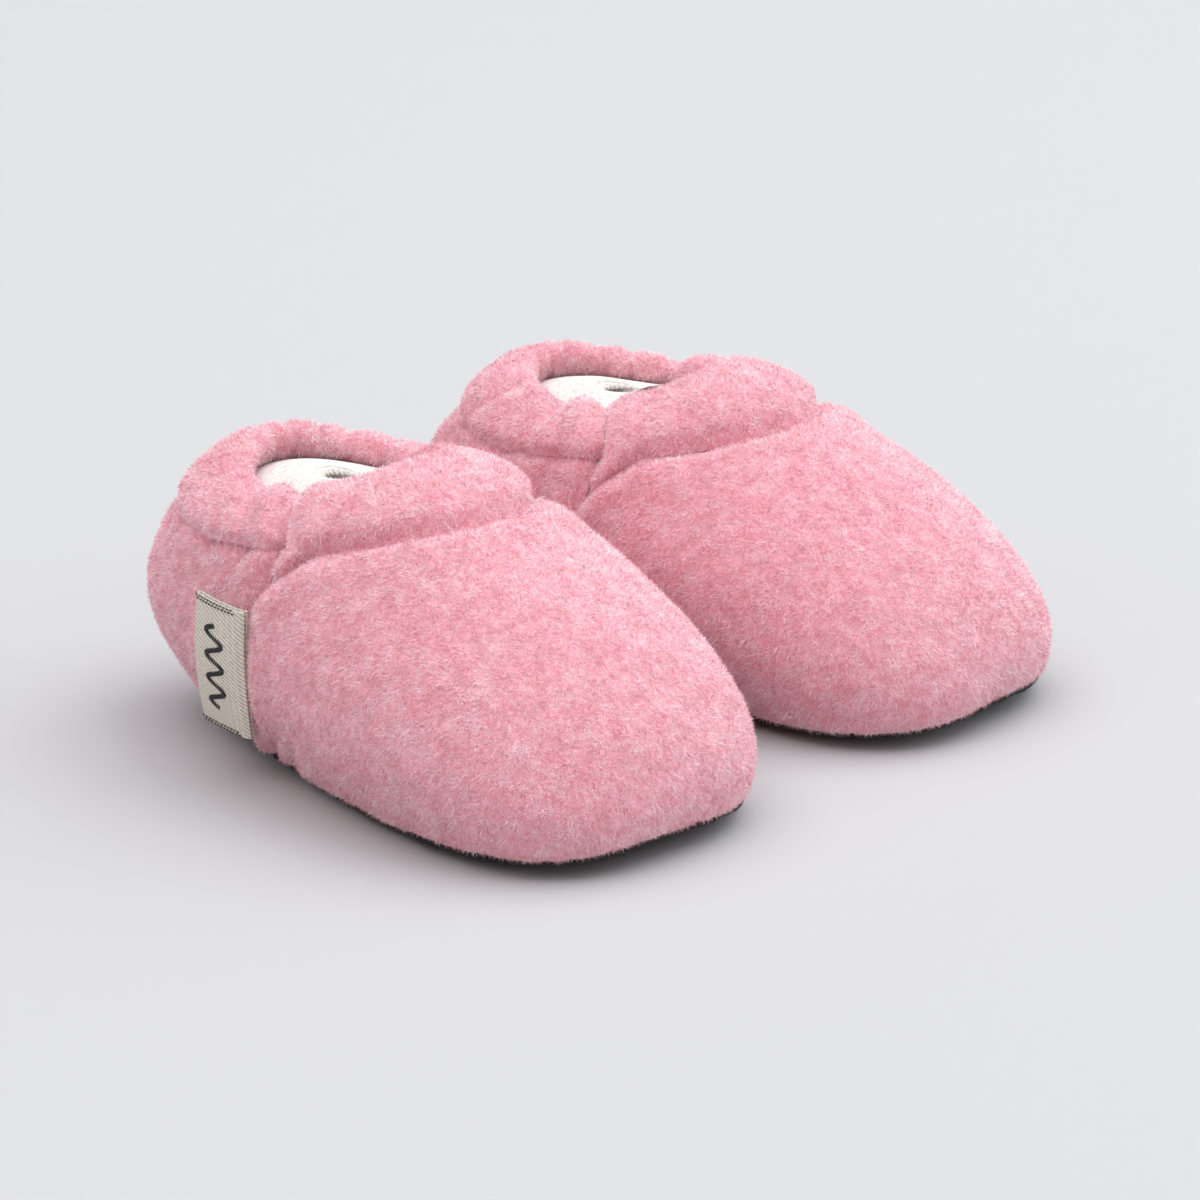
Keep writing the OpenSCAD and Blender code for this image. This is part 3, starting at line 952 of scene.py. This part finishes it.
def build_label(side):
    name = "%s_label" % side
    length = LABEL_CUT
    ns, nw = 112, 120
    half = 0.15
    s, w = np.meshgrid(np.linspace(0, length, ns), np.linspace(0, LABEL_W, nw), indexing="ij")
    slant = 2 * math.pi * (np.abs(s % (length / 2) - LABEL_L / 2) + 0.8 * w) / 0.62
    weave = 0.045 * np.sin(slant)
    outer = label_point(s, w, half + weave)
    inner = label_point(s, w, -half - weave)
    points = np.concatenate([outer.reshape(-1, 3), inner.reshape(-1, 3)])
    first = ns * nw
    faces = quads(ns, nw).tolist() + quads(ns, nw, first, flip=True).tolist()
    loop = [i * nw + j for i, j in border(ns, nw)]
    faces += [(loop[(k + 1) % len(loop)], loop[k], first + loop[k], first + loop[(k + 1) % len(loop)])
              for k in range(len(loop))]
    uv = np.stack([0.01 + s / LABEL_W * 0.5, 0.01 + w / LABEL_W * 0.98], -1).reshape(-1, 2)
    uv = np.concatenate([uv, uv + np.array([0.5, 0])])
    obj = make_object(name + "_tape", place(points, side), faces, TAPE, side, None, uv)
    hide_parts(name)

    def stitch(s0, w0, s1, w1, lift=0.10, steps=5):
        f = np.linspace(0, 1, steps)
        arch = half + 0.02 + lift * np.sin(math.pi * f)
        return label_point(s0 + (s1 - s0) * f, w0 + (w1 - w0) * f, arch)

    rng = np.random.default_rng(5)
    marks = []
    for edge in (0.45, LABEL_W - 0.45):
        for row in (-0.28, 0.28):
            for x in np.arange(1.9, length - 1.5, 0.74):
                if row > 0:
                    x += 0.37
                marks.append(stitch(x, edge + row, x + 0.5, edge + row + rng.uniform(-0.06, 0.06)))
    ends = threads(name + "_edge_stitches", marks, 0.13, INK, side, None)
    middle = LABEL_TUCK + LABEL_L * 0.52
    margin, tall, turns, half_stitch = 4.2, 1.7, 7 * math.pi, 0.45
    motif = []
    for f in np.linspace(0, 1, 92):
        w0 = margin + f * (LABEL_W - 2 * margin)
        swing = tall * math.sin(f * turns)
        tilt = math.atan(tall * turns * math.cos(f * turns) / (LABEL_W - 2 * margin))
        dx, dw = half_stitch * math.cos(tilt), -half_stitch * math.sin(tilt)
        motif.append(stitch(middle + swing - dx, w0 - dw, middle + swing + dx, w0 + dw))
    wave = threads(name + "_motif", motif, 0.17, INK, side, None)
    root, rise, run, face = label_frame()
    for piece in (obj, ends, wave):
        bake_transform(piece)


# ---------- hidden layers and loose thread ----------

def dress_hidden():
    looks = {"insole_pad": FOAM, "front_elastic": ELASTIC, "heel_elastic": ELASTIC,
             "collar_seam": THREAD, "side_seams": THREAD}
    for obj in bpy.context.scene.objects:
        for side in SIDES:
            for kind, look in looks.items():
                if obj.name == "%s_%s" % (side, kind) and obj.type == "MESH":
                    obj.data.materials.clear()
                    obj.data.materials.append(look)


def build_loose_thread():
    """A tuft of cut thread where the right collar seam ends at the instep."""
    rng = np.random.default_rng(12)
    root = skin(np.array(34.0), np.array(1.0), 0.3)
    lift = unit(root - skin(np.array(34.0), np.array(1.0), 3.0))
    paths = []
    for k in range(5):
        way = unit(lift * 1.2 + rng.normal(0, 0.7, 3))
        bend = unit(np.cross(way, rng.normal(size=3)))
        f = np.linspace(0, 1, 10)[:, None]
        reach = rng.uniform(1.6, 2.8)
        paths.append(root + lift * 0.1 + way * reach * f + bend * reach * 0.5 * f * f)
    tuft = threads("right_loose_thread", paths, 0.10, COTTON, "right", "right_bootie")


def build_all():
    build_uppers()
    build_linings()
    for side in SIDES:
        build_insole(side)
        build_outsole(side)
        build_sole_seam(side)
        build_label(side)
    dress_hidden()
    build_loose_thread()


# ---------- stage, light and camera ----------

CAMERA_TURN = -47.41
CAMERA_UP = 18.88
CAMERA_AWAY = 0.8174
CAMERA_AIM = Vector((0.00058, -0.00392, 0.01996))
LENS = 144


def bearing_vector(azimuth, elevation):
    a, e = math.radians(azimuth), math.radians(elevation)
    return Vector((math.sin(a) * math.cos(e), -math.cos(a) * math.cos(e), math.sin(e)))


def build_camera():
    data = bpy.data.cameras.new("camera")
    data.lens = LENS
    data.sensor_width = 36
    data.clip_start = 0.01
    data.clip_end = 20
    obj = bpy.data.objects.new("camera", data)
    back = bearing_vector(CAMERA_TURN, CAMERA_UP)
    obj.location = CAMERA_AIM + back * CAMERA_AWAY
    obj.rotation_euler = back.to_track_quat("Z", "Y").to_euler()
    bpy.context.scene.collection.objects.link(obj)
    bpy.context.scene.camera = obj


def build_stage():
    look, tree, shader = new_material("backdrop")
    shader.inputs["Base Color"].default_value = (*linear(188, 189, 191), 1)
    shader.inputs["Roughness"].default_value = 0.9
    shader.inputs["Specular IOR Level"].default_value = 0.1
    front, back, sweep, tall, half_width, steps = -2.5, 1.2, 0.8, 3.0, 3.0, 24
    rows = [(front, 0.0)]
    for k in range(steps + 1):
        w = k / steps * math.pi / 2
        rows.append((back + sweep * math.sin(w), sweep - sweep * math.cos(w)))
    rows.append((back + sweep, tall))
    a = math.radians(CAMERA_TURN)
    points = [(x * math.cos(a) - y * math.sin(a), x * math.sin(a) + y * math.cos(a), z)
              for x in (-half_width, half_width) for y, z in rows]
    count = len(rows)
    faces = [(k, count + k, count + k + 1, k + 1) for k in range(count - 1)]
    make_object("backdrop", points, faces, look, "right", None)


def area_light(name, power, size, azimuth, elevation, distance, colour=(1, 1, 1)):
    light = bpy.data.lights.new(name, "AREA")
    light.energy = power
    light.size = size
    light.color = colour
    obj = bpy.data.objects.new(name, light)
    back = bearing_vector(azimuth, elevation)
    obj.location = back * distance
    obj.rotation_euler = back.to_track_quat("Z", "Y").to_euler()
    bpy.context.scene.collection.objects.link(obj)


def build_light():
    world = bpy.data.worlds.new("studio")
    bpy.context.scene.world = world
    world.use_nodes = True
    back = world.node_tree.nodes["Background"]
    back.inputs[0].default_value = (1.0, 0.92, 0.925, 1)
    back.inputs[1].default_value = 0.57
    area_light("window", 78, 4.0, CAMERA_TURN + 110, 42, 2.8, (0.93, 0.985, 1.0))
    area_light("overhead", 102, 4.5, CAMERA_TURN + 180, 80, 3.0, (0.95, 0.985, 1.0))
    area_light("fill", 22, 3.0, CAMERA_TURN - 60, 45, 4.0, (1.0, 0.87, 0.88))
    bpy.context.scene.view_settings.view_transform = "Standard"


build_all()
build_camera()
build_stage()
build_light()
